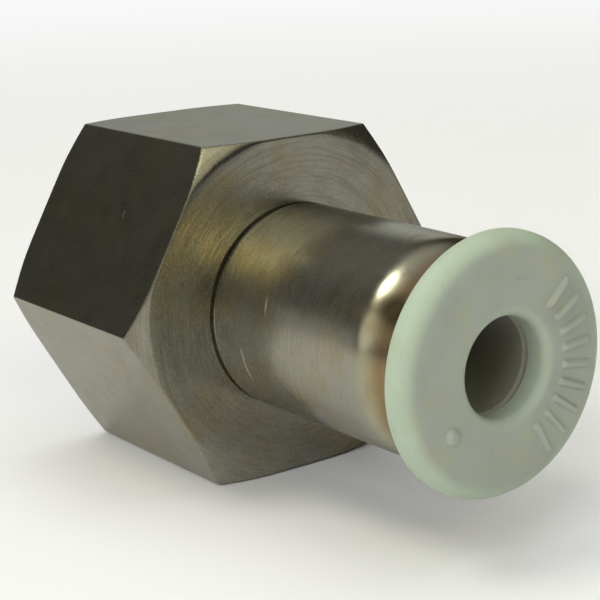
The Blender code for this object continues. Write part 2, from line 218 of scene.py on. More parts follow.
def add(name, mesh, body, materials, node=None, crease=35):
    """The mesh as a piece at the fitting's place: smooth, with flats kept flat, riding on a body.

    It replaces the CAD node, if one is named. Edges sharper than crease degrees stay sharp.
    """
    mesh.shade_smooth()
    mesh.set_sharp_from_angle(angle=math.radians(crease))
    for material in materials:
        mesh.materials.append(material)
    piece = bpy.data.objects.new(name, mesh)
    bpy.context.scene.collection.objects.link(piece)
    piece.matrix_world = PLACE
    steady = piece.modifiers.new("flat_faces", "WEIGHTED_NORMAL")
    steady.keep_sharp = True
    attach(piece, body)
    if node:
        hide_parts(node)
    return piece


# Body


def hexagon_columns():
    """(angle, radius) around the hexagon: its flats, and its corners rounded by a small arc."""
    centre_r = (APOTHEM - HEX_CORNER_FILLET) / math.cos(math.pi / 6)
    outline = []
    for corner in range(6):
        towards = math.pi / 3 * corner
        for step in range(HEX_CORNER_STEPS + 1):
            normal = towards + math.pi / 3 * (step / HEX_CORNER_STEPS - 0.5)
            y = centre_r * math.cos(towards) + HEX_CORNER_FILLET * math.cos(normal)
            z = centre_r * math.sin(towards) + HEX_CORNER_FILLET * math.sin(normal)
            outline.append((y, z))
        y, z = outline[-1]
        normal = towards + math.pi / 6
        for step in range(1, FLAT_STEPS):
            along = centre_r * step / FLAT_STEPS
            outline.append((y - math.sin(normal) * along, z + math.cos(normal) * along))
    return [(math.atan2(z, y), math.hypot(y, z)) for y, z in outline]


def cone_drop(r):
    """How far the end face has dropped at this radius, and its slope: flat, then softly into the chamfer."""
    t = (r - CHAMFER_CIRCLE) / SOFT_EDGE
    steep = math.tan(CHAMFER_ANGLE)
    return steep * SOFT_EDGE * math.log1p(math.exp(t)), math.atan(steep / (1 + math.exp(-t)))


def rounded_end(end_x, out, outer_r):
    """Profile points over the end face and the chamfer to the flat; out is 1 in front and -1 at the rear."""
    contact = outer_r
    for _ in range(CONTACT_ROUNDS):
        contact = outer_r - CHAMFER_FILLET * (1 - math.sin(cone_drop(contact)[1]))
    points = []
    for i in range(FACE_ROWS):
        r = FACE_FROM_R + (contact - FACE_FROM_R) * i / FACE_ROWS
        points.append((end_x - out * cone_drop(r)[0], r))
    drop, slope = cone_drop(contact)
    for step in range(FILLET_STEPS + 1):
        angle = slope + (math.pi / 2 - slope) * step / FILLET_STEPS
        along = drop + CHAMFER_FILLET * (math.cos(slope) - math.cos(angle))
        up = contact + CHAMFER_FILLET * (math.sin(angle) - math.sin(slope))
        points.append((end_x - out * along, up))
    return points


def roll_drop(x):
    """How far the rolled end has come inwards at this place: nothing, then softly into a cone."""
    past = (x - BARREL_END + ROLL_LENGTH) / ROLL_BLEND
    return math.tan(ROLL_ANGLE) * ROLL_BLEND * math.log1p(math.exp(past))


def thread_radius(x, angle):
    """The thread's surface at this place, with its countersunk start and its run-out."""
    phase = ((x + HEX_LENGTH) / PITCH - angle / (2 * math.pi)) % 1
    flank = (MAJOR_R - MINOR_R) * math.tan(FLANK) / PITCH
    flat = (1 - 2 * flank) / 2
    if phase < flat:
        height = 0.0
    elif phase < flat + flank:
        height = (phase - flat) / flank
    elif phase < 2 * flat + flank:
        height = 1.0
    else:
        height = (1 - phase) / flank
    fade = min(1.0, max(0.0, (THREAD_DEPTH - HEX_LENGTH - x) / RUNOUT))
    height = height * height * (3 - 2 * height)  # rounds the roots and the crests
    cut = MINOR_R + (MAJOR_R - MINOR_R) * height * fade
    entry = ENTRY_R - (x + HEX_LENGTH)
    return max(cut, entry)


def undercut_corners():
    """The undercut beside the hexagon, with the fine burr that the tool leaves on its far edge."""
    far = UNDERCUT_WIDTH
    return [
        (0.0, UNDERCUT_R + 0.02, 0),
        (0.02, UNDERCUT_R, 0.015),
        (far, UNDERCUT_R, 0.03),
        (far, BARREL_R + UNDERCUT_LIP + 0.003, 0.012),
        (far + 0.03, BARREL_R + UNDERCUT_LIP, 0.01),
        (far + 0.07, BARREL_R, 0.02),
        (far + BARREL_PLAIN_FROM, BARREL_R, 0),
    ]


def bore_corners():
    """The rolled mouth, the chamber, the tube socket, the passage and the drill point, from the front end."""
    drill_end = DRILL_DEPTH - HEX_LENGTH
    point = (MINOR_R - PASSAGE_R) / math.tan(DRILL_POINT_HALF)
    return [
        (BARREL_END, MOUTH_R + 0.14, 0),
        (BARREL_END - 0.05, MOUTH_R, 0.06),
        (BARREL_END - MOUTH_LENGTH, MOUTH_R, 0.03),
        (BARREL_END - MOUTH_CONE_END, CHAMBER_R, BORE_EDGE),
        (CHAMBER_FLOOR, CHAMBER_R, BORE_EDGE),
        (CHAMBER_FLOOR, SOCKET_R + SOCKET_CHAMFER, 0.03),
        (CHAMBER_FLOOR - SOCKET_CHAMFER, SOCKET_R, BORE_EDGE),
        (TUBE_STOP, SOCKET_R, BORE_EDGE),
        (TUBE_STOP, PASSAGE_R, BORE_EDGE),
        (drill_end + point, PASSAGE_R, 2 * BORE_EDGE),
        (drill_end, MINOR_R, 0),
    ]


# Materials of the body's mesh rows
TURNED_FACE, FLAT_SIDE, BARREL, ROLL, BORE, THREAD = range(6)


def body_column(angle, outer_r):
    """One column of the body: (zone, x, r) from the rear face, over the outside, back through the bores."""
    rows = [(TURNED_FACE, -HEX_LENGTH, ENTRY_R)]
    rear = rounded_end(-HEX_LENGTH, -1, outer_r)
    rows += [(TURNED_FACE, x, r) for x, r in rear[:-1]]
    rows.append((FLAT_SIDE, *rear[-1]))
    front = rounded_end(0.0, 1, outer_r)[::-1]
    rows += [(TURNED_FACE, x, r) for x, r in front]
    rows += [(BARREL, x, r) for x, r in fillet(undercut_corners())]
    plain_start = UNDERCUT_WIDTH + BARREL_PLAIN_FROM
    roll_start = BARREL_END - ROLL_LENGTH - ROLL_BLENDS_AHEAD * ROLL_BLEND
    for i in range(1, BARREL_ROWS):
        rows.append((BARREL, plain_start + (roll_start - plain_start) * i / BARREL_ROWS, BARREL_R))
    roll_span = BARREL_END - ROLL_NOSE_START - roll_start
    for i in range(ROLL_STEPS):
        x = roll_start + roll_span * i / (ROLL_STEPS - 1)
        rows.append((ROLL, x, BARREL_R - roll_drop(x)))
    rows.append((ROLL, BARREL_END, BARREL_R - roll_drop(BARREL_END) - ROLL_NOSE))
    rows += [(BORE, x, r) for x, r in fillet(bore_corners())]
    count = int(DRILL_DEPTH / PITCH * ROWS_PER_PITCH)
    for i in range(1, count):
        x = DRILL_DEPTH - HEX_LENGTH - DRILL_DEPTH * i / count
        rows.append((THREAD, x, thread_radius(x, angle)))
    return rows


def body_mesh():
    """The hexagon's columns crowd at its corners; inside the end faces they spread out evenly."""
    columns = []
    outline = hexagon_columns()
    for j, (angle, outer_r) in enumerate(outline):
        even = 2 * math.pi * (j - HEX_CORNER_STEPS / 2) / len(outline)
        rows = body_column(even, outer_r)
        column = []
        for _, x, r in rows:
            turn = angle if r > FACE_FROM_R - 0.01 else even
            column.append((x, r * math.cos(turn), r * math.sin(turn)))
        columns.append(column)
    zones = [zone for zone, _, _ in rows]
    return column_mesh("body_machined", columns, zones)


# Release ring


def ring_profile():
    """Flange with a soft rim, face, hole, shoulder, snap groove for the collet's neck, and hub."""
    front = FLANGE_X + FLANGE_THICK
    socket_r = NECK_R + NECK_PLAY
    hub_end = FLANGE_X - HUB_LENGTH
    corners = [
        (FLANGE_X + 0.01, HUB_R + 0.4, 0),
        (FLANGE_X, FLANGE_R - 0.3, 0),
        (FLANGE_X, FLANGE_R, 0.2),
        (front - 0.01, FLANGE_R - 0.03, 0.82),
        (front - FACE_DISH, FACE_R - 0.6, 0.5),
        (front - FACE_DISH, HOLE_R + 0.9, 0.4),
        (front - 0.02, HOLE_R + 0.01, 0.42),
        (SHOULDER_X, HOLE_R, 0.02),
        (SHOULDER_X, socket_r, 0.02),
        (hub_end + 0.45, socket_r, 0),
        (hub_end + 0.37, socket_r - NECK_GROOVE_DEPTH, COLLET_EDGE),
        (hub_end + 0.25, socket_r - NECK_GROOVE_DEPTH, COLLET_EDGE),
        (hub_end + 0.17, socket_r, 0),
        (hub_end, socket_r, 0),
        (hub_end, HUB_R, 0.06),
        (FLANGE_X, HUB_R, 0.1),
        (FLANGE_X, HUB_R + 0.3, 0),
    ]
    return fillet(corners, RING_FILLET_STEPS)


def pillow(length, width, height, sink, rows=18, across=12):
    """(verts, faces) of a soft-edged raised mark along +X on the z = 0 plane, with a flat underside.

    Top and underside share their rim. The corner cells are split through their inner vertex, because a
    triangle of three rim vertices would lie flat on the underside.
    """
    verts = []
    span = across + 1
    for i in range(rows + 1):
        u = 2 * i / rows - 1
        for j in range(span):
            v = 2 * j / across - 1
            dome = (1 - u**8) * (1 - v * v)
            verts.append((u * length / 2, v * width / 2, (height + sink) * dome - sink))
    below = list(range(len(verts)))
    for i in range(1, rows):
        for j in range(1, across):
            x, y, _ = verts[i * span + j]
            below[i * span + j] = len(verts)
            verts.append((x, y, -sink))
    faces = []
    inner_vertex = {(0, 0): 2, (0, across - 1): 1, (rows - 1, 0): 3, (rows - 1, across - 1): 0}
    for i in range(rows):
        for j in range(across):
            a = i * span + j
            quad = (a, a + span, a + span + 1, a + 1)
            faces.append(tuple(below[k] for k in quad[::-1]))
            if (i, j) in inner_vertex:
                first = inner_vertex[i, j]
                p, q, r, s = quad[first:] + quad[:first]
                faces += [(p, q, r), (p, r, s)]
            else:
                faces.append(quad)
    return verts, faces


def button(radius, height, sink, rings=8, around=32):
    """(verts, faces) of a round dome on the z = 0 plane, closed below."""
    verts = [(0, 0, height)]
    for i in range(1, rings + 1):
        share = i / rings
        z = (height + sink) * (1 - share**3) - sink
        for k in range(around):
            turn = 2 * math.pi * k / around
            verts.append((radius * share * math.cos(turn), radius * share * math.sin(turn), z))
    faces = [(0, 1 + k, 1 + (k + 1) % around) for k in range(around)]
    for i in range(rings - 1):
        for k in range(around):
            a = 1 + i * around
            following = (k + 1) % around
            faces.append((a + k, a + around + k, a + around + following, a + following))
    rim = 1 + (rings - 1) * around
    faces.append(tuple(rim + k for k in range(around))[::-1])
    return verts, faces


def marks_mesh():
    """Nine radial ribs and one round pip on the ring's face."""
    front = FLANGE_X + FLANGE_THICK - FACE_DISH
    verts = []
    faces = []

    def lay(part, radius, angle):
        points, quads = part
        start = len(verts)
        for x, y, z in points:
            spot = Matrix.Rotation(angle, 3, "X") @ Vector((front + z, radius + x, y))
            verts.append(tuple(spot * MM))
        faces.extend(tuple(start + k for k in quad) for quad in quads)

    for k in range(RIB_COUNT):
        angle = RIB_MIDDLE + RIB_SPAN * (k / (RIB_COUNT - 1) - 0.5)
        lay(pillow(RIB_LENGTH, RIB_WIDTH, MARK_HEIGHT, MARK_SINK), RIB_CENTRE_R, angle)
    lay(button(PIP_R, MARK_HEIGHT, MARK_SINK), PIP_CENTRE_R, PIP_ANGLE)
    mesh = bpy.data.meshes.new("release_ring_marks")
    mesh.from_pydata(verts, [], faces)
    return mesh


# Collet and claws


def collet_profile():
    """Nose cone, collar, sleeve, and the neck with the snap groove that holds the release ring."""
    groove_r = NECK_R - NECK_GROOVE_DEPTH
    corners = [
        (COLLET_NOSE_X + 1.4, COLLET_BORE, 0),
        (COLLET_NOSE_X, COLLET_BORE, 0.05),
        (COLLET_NOSE_X, COLLET_BORE + 0.25, 0.06),
        (COLLET_NOSE_X + 0.8, COLLET_R, 0.1),
        (COLLAR_X[0], COLLET_R, 0.02),
        (COLLAR_X[0], COLLAR_R, 0.06),
        (COLLAR_X[1], COLLAR_R, 0.06),
        (COLLAR_X[1], COLLET_R, 0.02),
        (NECK_X[0], COLLET_R, 0.04),
        (NECK_X[0], NECK_R, COLLET_EDGE),
        (NECK_GROOVE_X[0], NECK_R, COLLET_EDGE),
        (NECK_GROOVE_X[0], groove_r, COLLET_EDGE),
        (NECK_GROOVE_X[1], groove_r, COLLET_EDGE),
        (NECK_GROOVE_X[1], NECK_R, COLLET_EDGE),
        (NECK_X[1], NECK_R, 0.06),
        (NECK_X[1], COLLET_BORE + 0.2, 0.05),
        (NECK_X[1] - 0.2, COLLET_BORE, 0.05),
        (NECK_X[1] - 1.0, COLLET_BORE, 0),
        (NECK_X[1] - 3.0, COLLET_BORE, 0),
    ]
    return fillet(corners)


def claw_outline():
    """The claw's flat outline, as (distance from the hinge along the claw, sideways) points."""
    half_pitch = math.pi / CLAW_COUNT
    side_cut = CLAW_SLOT / 2 / math.cos(half_pitch)
    points = []
    for edge_r, turn in ((CLAW_PIVOT_R, 1), (CLAW_TIP_R, -1)):
        half_width = edge_r * math.cos(half_pitch * CLAW_ARC_SHARE) * math.tan(half_pitch) - side_cut
        for i in range(2 * CLAW_ARC_STEPS + 1):
            sideways = turn * half_width * (i / CLAW_ARC_STEPS - 1)
            radial = math.sqrt(edge_r**2 - sideways**2)
            points.append(((CLAW_PIVOT_R - radial) / math.cos(CLAW_SLOPE), sideways))
    return points


def claw_mesh(index):
    """One spring claw: a bent plate whose long edges are rolled off."""
    outline = claw_outline()
    centre = Vector((sum(p[0] for p in outline), sum(p[1] for p in outline))) / len(outline)
    half = CLAW_THICK / 2
    rounding = ((1.0, 0.86), (1.0, 0.94), (0.8, 0.985))
    levels = [(-half * height, share) for height, share in rounding]
    levels += [(0.0, 1.0)] + [(half * height, share) for height, share in rounding[::-1]]
    along = Vector((-math.sin(CLAW_SLOPE), -math.cos(CLAW_SLOPE), 0))
    across = Vector((math.cos(CLAW_SLOPE), -math.sin(CLAW_SLOPE), 0))
    turn = Matrix.Rotation(2 * math.pi * index / CLAW_COUNT, 3, "X")
    verts = []
    for height, share in levels:
        for distance, sideways in outline:
            d = centre.x + (distance - centre.x) * share
            s = centre.y + (sideways - centre.y) * share
            point = along * d + across * height + Vector((CLAW_PIVOT_X, CLAW_PIVOT_R, s))
            verts.append(tuple(turn @ point * MM))
    count = len(outline)
    faces = [tuple(range(count))[::-1], tuple(range((len(levels) - 1) * count, len(levels) * count))]
    for level in range(len(levels) - 1):
        for k in range(count):
            following = (k + 1) % count
            a = level * count
            faces.append((a + k, a + following, a + count + following, a + count + k))
    mesh = bpy.data.meshes.new(f"claw_{index + 1}_spring")
    mesh.from_pydata(verts, [], faces)
    return mesh


# Materials


class Nodes:
    """Builds the nodes of one material, or of the world, in short calls."""

    def __init__(self, name, world=False):
        self.made = bpy.data.worlds.new(name) if world else bpy.data.materials.new(name)
        self.made.use_nodes = True
        self.tree = self.made.node_tree
        self.shader = self.tree.nodes.get("Principled BSDF")

    def node(self, kind, settings=(), **inputs):
        made = self.tree.nodes.new(kind)
        for key, value in dict(settings).items():
            setattr(made, key, value)
        for key, value in inputs.items():
            self.feed(made, key.replace("_", " "), value)
        return made

    def feed(self, node, socket, value):
        target = node.inputs[int(socket)] if socket.isdigit() else node.inputs[socket]
        if isinstance(value, bpy.types.NodeSocket):
            self.tree.links.new(value, target)
        else:
            target.default_value = value

    def set(self, **inputs):
        for key, value in inputs.items():
            self.feed(self.shader, key.replace("_", " "), value)

    def math(self, operation, a, b=0.0):
        made = self.node("ShaderNodeMath", {"operation": operation})
        self.feed(made, "0", a)
        self.feed(made, "1", b)
        return made.outputs[0]

    def smooth(self, value, low, high, to_low=0.0, to_high=1.0):
        made = self.node("ShaderNodeMapRange", {"interpolation_type": "SMOOTHSTEP"})
        for socket, item in zip("01234", (value, low, high, to_low, to_high)):
            self.feed(made, socket, item)
        return made.outputs[0]

    def place(self):
        """(object coordinates, x, y, z, radius from the axis) in metres."""
        coordinates = self.node("ShaderNodeTexCoord").outputs["Object"]
        split = self.node("ShaderNodeSeparateXYZ", Vector=coordinates)
        x, y, z = split.outputs
        radius = self.math("SQRT", self.math("ADD", self.math("MULTIPLY", y, y), self.math("MULTIPLY", z, z)))
        return coordinates, x, y, z, radius

    def vector(self, x, y, z):
        return self.node("ShaderNodeCombineXYZ", X=x, Y=y, Z=z).outputs[0]

    def noise(self, vector, scale=1.0, detail=2.0, roughness=0.5, w=None):
        settings = {"noise_dimensions": "3D" if w is None else "4D"}
        made = self.node("ShaderNodeTexNoise", settings, Vector=vector, Scale=scale, Detail=detail)
        self.feed(made, "Roughness", roughness)
        if w is not None:
            self.feed(made, "W", w)
        return made.outputs[0]

    def mix(self, factor, a, b, blend="MIX"):
        made = self.node("ShaderNodeMix", {"data_type": "RGBA", "blend_type": blend})
        self.feed(made, "0", factor)
        self.feed(made, "6", a)
        self.feed(made, "7", b)
        return made.outputs[2]

    def bump(self, height, strength, distance, normal=None):
        made = self.node("ShaderNodeBump", Height=height, Strength=strength, Distance=distance)
        if normal is not None:
            self.feed(made, "Normal", normal)
        return made.outputs[0]


def turning_lines(n, x, y, z, radius, per_mm, around=3.0):
    """Noise drawn out round the axis into the fine lines that a lathe tool leaves."""
    k = per_mm * 1000
    unit_y = n.math("MULTIPLY", n.math("DIVIDE", y, radius), around)
    unit_z = n.math("MULTIPLY", n.math("DIVIDE", z, radius), around)
    vector = n.vector(n.math("MULTIPLY", x, k), unit_y, unit_z)
    return n.noise(vector, 1.0, 2.0, 0.6, n.math("MULTIPLY", radius, k))


def tarnish(n, coordinates, plain, warm, dark, amount=1.0, dulled=0.4):
    """Plating colour with soft yellow-brown stains and duller patches."""
    stain = n.smooth(n.noise(coordinates, 330, 3.0, 0.55), 0.42, 0.68, 0.0, amount)
    dull = n.smooth(n.noise(coordinates, 900, 4.0, 0.6), 0.40, 0.80, 0.0, dulled)
    return n.mix(dull, n.mix(stain, plain, warm), dark)


PLATE = (0.405, 0.40, 0.34, 1)
PLATE_WARM = (0.42, 0.37, 0.255, 1)
PLATE_DARK = (0.26, 0.225, 0.175, 1)
BARREL_METALLIC = 0.93
BARREL_LINES_PER_MM = 14.0
BARREL_ROUGHNESS = 0.24
STREAKS_ALONG = 60
STREAKS_ACROSS = 11000
ROLL_BRIGHT = (0.50, 0.48, 0.37, 1)
ROLL_BRIGHT_WARM = (0.50, 0.42, 0.22, 1)
ROLL_BRIGHT_DARK = (0.30, 0.24, 0.16, 1)
# Brown of the rolled end's inner edge: worn plating with brass showing, and painted shade beside the ring
ROLL_BRASS_AND_SHADE = (0.32, 0.22, 0.12, 1)
TICK_BRIGHT = (0.85, 0.86, 0.80, 1)
SCRATCH_BRIGHT = (0.75, 0.74, 0.66, 1)

GREY_GREEN = (0.375, 0.415, 0.355, 1)
GREY_GREEN_DEEP = (0.345, 0.375, 0.33, 1)
# Painted highlight colour, for the release ring's rim and the lip round its hole
PAINTED_LIGHT_MINT = (0.425, 0.51, 0.39, 1)
PLASTIC_STAIN = (0.40, 0.40, 0.25, 1)
WHITE = (0.78, 0.78, 0.74, 1)
WHITE_DEEP = (0.70, 0.70, 0.66, 1)
BRASS = (0.46, 0.41, 0.30, 1)
BRASS_DEEP = (0.37, 0.32, 0.22, 1)
# Darker, greyer brass for the collet's bore: painted shade in the recess, with a duller finish
SHADED_DULL_BRASS = (0.34, 0.33, 0.28, 1)
STEEL = (0.60, 0.59, 0.56, 1)
STEEL_DEEP = (0.50, 0.48, 0.45, 1)
RUBBER = (0.012, 0.012, 0.013, 1)
RUBBER_BLOOM = (0.035, 0.034, 0.032, 1)


def around_axis(n):
    return n.node("ShaderNodeTangent", {"direction_type": "RADIAL", "axis": "X"}).outputs[0]


def scratches(n, x, y, z, length, thin, w, rare=0.80):
    """A few short bright ticks that run round the axis, each thin along it."""
    slant = n.math("ADD", x, n.math("MULTIPLY", z, 0.22))
    around = (n.math("MULTIPLY", y, length), n.math("MULTIPLY", z, length))
    vector = n.vector(n.math("MULTIPLY", slant, thin), *around)
    return n.smooth(n.noise(vector, 1.0, 0.0, 0.5, w), rare, rare + 0.04)


def turned_plate(name, roughness, per_mm, aniso, depth=2.5e-6, line_tone=0.3, ticks=0.0, metallic=1.0):
    """Nickel plate over a turned surface: lines round the axis, highlights drawn out across them.

    per_mm is the number of lines in a millimetre, depth their depth in metres, and line_tone their darkness.
    ticks is how bright the short handling marks are.
    """
    n = Nodes(name)
    coordinates, x, y, z, radius = n.place()
    lines = turning_lines(n, x, y, z, radius, per_mm)
    coarse = turning_lines(n, x, y, z, radius, per_mm / 4, 1.2)
    colour = tarnish(n, coordinates, PLATE, PLATE_WARM, PLATE_DARK)
    colour = n.mix(n.smooth(lines, 0.4, 0.7, 0.0, line_tone), colour, PLATE_DARK)
    colour = n.mix(n.smooth(coarse, 0.52, 0.7, 0.0, line_tone), colour, PLATE_DARK)
    grain = n.noise(coordinates, 9000, 2.0)
    rough = n.smooth(lines, 0.3, 0.75, roughness - 0.04, roughness + 0.05)
    rough = n.math("ADD", rough, n.smooth(grain, 0.3, 0.8, -0.02, 0.04))
    normal = n.bump(lines, 0.5, depth)
    normal = n.bump(coarse, 0.5, depth * 2, normal)
    if ticks:
        marks = scratches(n, x, y, z, 420, 2600, 3.7, 0.765)
        colour = n.mix(n.math("MULTIPLY", marks, ticks), colour, TICK_BRIGHT)
        rough = n.math("ADD", rough, n.math("MULTIPLY", marks, 0.3))
    n.set(Base_Color=colour, Metallic=metallic, Roughness=rough, Normal=normal)
    n.set(Tangent=around_axis(n), Anisotropic=aniso)
    return n.made


def drawn_plate(name):
    """Nickel plate over the drawn bar's flats: fine faint streaks along the axis, a few handling marks."""
    n = Nodes(name)
    coordinates, x, y, z, _ = n.place()
    fine_across = (n.math("MULTIPLY", y, STREAKS_ACROSS), n.math("MULTIPLY", z, STREAKS_ACROSS))
    vector = n.vector(n.math("MULTIPLY", x, STREAKS_ALONG), *fine_across)
    streaks = n.noise(vector, 1.0, 3.0, 0.65)
    colour = tarnish(n, coordinates, PLATE, PLATE_WARM, PLATE_DARK, 0.6, 0.35)
    colour = n.mix(n.smooth(streaks, 0.4, 0.75, 0.0, 0.05), colour, PLATE_DARK)
    rough = n.smooth(streaks, 0.3, 0.75, 0.275, 0.3)
    cloud = n.noise(coordinates, 700, 3.0)
    rough = n.math("ADD", rough, n.smooth(cloud, 0.2, 0.8, -0.012, 0.015))
    marks = scratches(n, x, y, z, 1000, 5200, 1.3, 0.81)
    colour = n.mix(n.math("MULTIPLY", marks, 0.3), colour, SCRATCH_BRIGHT)
    rough = n.math("ADD", rough, n.math("MULTIPLY", marks, 0.1))
    normal = n.bump(streaks, 0.2, 1.0e-6)
    normal = n.bump(n.noise(coordinates, 1100, 2.0), 0.2, 4e-6, normal)
    n.set(Base_Color=colour, Metallic=1.0, Roughness=rough, Normal=normal, Tangent=around_axis(n))
    n.set(Anisotropic=0.4, Anisotropic_Rotation=0.25)
    return n.made


def burnished_plate(name):
    """The rolled end: the barrel's finish, polished by the rolling tool. Its inner edge next to the ring is
    painted brown: partly plating worn through to brass, partly painted shade under the ring's flange.
    """
    n = Nodes(name)
    coordinates, x, y, z, radius = n.place()
    lines = turning_lines(n, x, y, z, radius, BARREL_LINES_PER_MM)
    polished = n.smooth(radius, (BARREL_R - 0.01) * MM, (BARREL_R - 0.12) * MM)
    plain = tarnish(n, coordinates, PLATE, PLATE_WARM, PLATE_DARK)
    bright = tarnish(n, coordinates, ROLL_BRIGHT, ROLL_BRIGHT_WARM, ROLL_BRIGHT_DARK, 0.9)
    # Worn plating and painted shade: brown towards the mouth, next to the release ring
    worn_and_shaded = n.smooth(radius, (BARREL_R - 0.15) * MM, (BARREL_R - 0.47) * MM, 0.0, 0.85)
    colour = n.mix(worn_and_shaded, n.mix(polished, plain, bright), ROLL_BRASS_AND_SHADE)
    rough = n.smooth(n.noise(coordinates, 1500, 3.0), 0.3, 0.7, -0.03, 0.03)
    rough = n.math("ADD", rough, n.smooth(polished, 0.0, 1.0, BARREL_ROUGHNESS, 0.22))
    normal = n.bump(lines, 0.4, 0.8e-6)
    metallic = n.smooth(polished, 0.0, 1.0, BARREL_METALLIC, 1.0)
    n.set(Base_Color=colour, Metallic=metallic, Roughness=rough)
    n.set(Normal=normal, Tangent=around_axis(n), Anisotropic=0.5)
    return n.made


def moulded(name, light, grey, roughness, painted_light_tone=None):
    """Moulded acetal: faint cloudiness, a fine eroded texture and a little light carried under the surface.

    Painted light: a lighter mint is painted on the release ring's rim and round its hole, where the rounded
    edges catch the light.
    """
    n = Nodes(name)
    coordinates, x, y, z, radius = n.place()
    cloud = n.smooth(n.noise(coordinates, 420, 4.0, 0.6), 0.35, 0.7)
    colour = n.mix(cloud, light, grey)
    # Painted highlight: the rim and the lip round the hole are painted a lighter mint
    if painted_light_tone:
        rim = n.smooth(radius, (FLANGE_R - 0.8) * MM, (FLANGE_R - 0.3) * MM)
        lit_lip = n.smooth(radius, (HOLE_R + 0.6) * MM, (HOLE_R + 0.2) * MM, 0.0, 0.45)
        patches = n.smooth(n.noise(coordinates, 600, 3.0), 0.2, 0.6, 0.6, 1.0)
        painted_light_edge = n.math("MULTIPLY", n.math("ADD", rim, lit_lip), patches)
        colour = n.mix(painted_light_edge, colour, painted_light_tone)
    specks = n.smooth(n.noise(coordinates, 2300, 2.0), 0.66, 0.78, 0.0, 0.35)
    speck_colour = (*(0.72 * c for c in grey[:3]), 1)
    colour = n.mix(specks, colour, speck_colour)
    stain = n.smooth(n.noise(coordinates, 750, 2.0, 0.5, 2.2), 0.50, 0.72, 0.0, 0.4)
    colour = n.mix(stain, colour, PLASTIC_STAIN)
    fine = n.noise(coordinates, 12000, 2.0)
    rough = n.smooth(fine, 0.3, 0.7, roughness - 0.06, roughness + 0.08)
    normal = n.bump(fine, 0.3, 4e-6)
    normal = n.bump(n.noise(coordinates, 1400, 2.0), 0.45, 2.2e-5, normal)
    n.set(Base_Color=colour, Roughness=rough, Normal=normal, Metallic=0.0, IOR=1.48)
    n.set(Subsurface_Weight=0.12, Subsurface_Radius=(1.0, 0.9, 0.7), Subsurface_Scale=0.4 * MM)
    return n.made


def plain_metal(name, colour, other, roughness, per_mm=9.0, aniso=0.4, shaded_dull_bore=None):
    """A turned or pressed metal piece inside the barrel. Inside the bore it is rougher and less metallic, and
    its colour is darker: a duller finish with painted shade.
    """
    n = Nodes(name)
    coordinates, x, y, z, radius = n.place()
    lines = turning_lines(n, x, y, z, radius, per_mm)
    tone = n.mix(n.smooth(n.noise(coordinates, 800, 3.0), 0.35, 0.7), colour, other)
    rough = n.smooth(lines, 0.3, 0.7, roughness - 0.05, roughness + 0.08)
    n.set(Metallic=1.0)
    if shaded_dull_bore:
        # Painted shade: the bore's inside gets a darker, greyer colour, as well as more roughness and less
        # metal
        inside = n.smooth(radius, (COLLET_BORE + 0.35) * MM, (COLLET_BORE + 0.25) * MM)
        tone = n.mix(inside, tone, shaded_dull_bore)
        rough = n.math("ADD", rough, n.math("MULTIPLY", inside, 0.15))
        n.set(Metallic=n.smooth(inside, 0.0, 1.0, 1.0, 0.35))
    n.set(Base_Color=tone, Roughness=rough, Normal=n.bump(lines, 0.5, 2e-6), Tangent=around_axis(n))
    n.set(Anisotropic=aniso)
    return n.made


def rubber(name):
    """Black nitrile with a faint grey bloom."""
    n = Nodes(name)
    coordinates = n.node("ShaderNodeTexCoord").outputs["Object"]
    bloom = n.smooth(n.noise(coordinates, 700, 4.0, 0.6), 0.4, 0.75)
    colour = n.mix(bloom, RUBBER, RUBBER_BLOOM)
    fine = n.noise(coordinates, 9000, 2.0)
    rough = n.smooth(fine, 0.3, 0.7, 0.45, 0.62)
    n.set(Base_Color=colour, Roughness=rough, Normal=n.bump(fine, 0.3, 4e-6), Metallic=0.0)
    return n.made


# Pieces


def dress(node, material):
    """A CAD node keeps its shape and takes the material."""
    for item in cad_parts[node].material_slots:
        item.material = material


def build_body():
    skins = [
        turned_plate("nickel_turned_face", 0.27, 7.0, aniso=0.85, depth=1.6e-6),
        drawn_plate("nickel_drawn_flats"),
        turned_plate(
            "nickel_barrel",
            BARREL_ROUGHNESS,
            BARREL_LINES_PER_MM,
            aniso=0.5,
            depth=0.6e-6,
            line_tone=0.15,
            ticks=0.7,
            metallic=BARREL_METALLIC,
        ),
        burnished_plate("nickel_rolled_end"),
        turned_plate("nickel_bore", 0.34, 7.0, aniso=0.5),
        turned_plate("nickel_thread", 0.30, 6.0, aniso=0.4, depth=2e-6),
    ]
    add("body_machined", body_mesh(), "fitting", skins, "body")


def build_release_ring():
    acetal = moulded("acetal_grey_green", GREY_GREEN, GREY_GREEN_DEEP, 0.5, PAINTED_LIGHT_MINT)
    ring = turned("release_ring_moulded", ring_profile(), RING_STEPS)
    add("release_ring_moulded", ring, "release_ring", [acetal], "release_ring", crease=50)
    add("release_ring_marks", marks_mesh(), "release_ring", [acetal], crease=60)


def build_inner_pieces():
    brass = plain_metal("brass_turned", BRASS, BRASS_DEEP, 0.48)
    steel = plain_metal("steel_spring", STEEL, STEEL_DEEP, 0.26, per_mm=20.0)
    sleeve = plain_metal("brass_sleeve", BRASS, BRASS_DEEP, 0.48, shaded_dull_bore=SHADED_DULL_BRASS)
    collet = turned("collet_turned", collet_profile(), COLLET_STEPS)
    add("collet_turned", collet, "collet", [sleeve], "collet")
    for index in range(CLAW_COUNT):
        name = f"claw_{index + 1}"
        add(f"{name}_spring", claw_mesh(index), name, [steel], name, crease=60)
    dress("claw_rim", steel)
    dress("claw_seat", brass)
    dress("retaining_bush", brass)
    dress("support_ring", moulded("acetal_white", WHITE, WHITE_DEEP, 0.42))
    dress("tube_seal", rubber("nitrile"))


# Studio

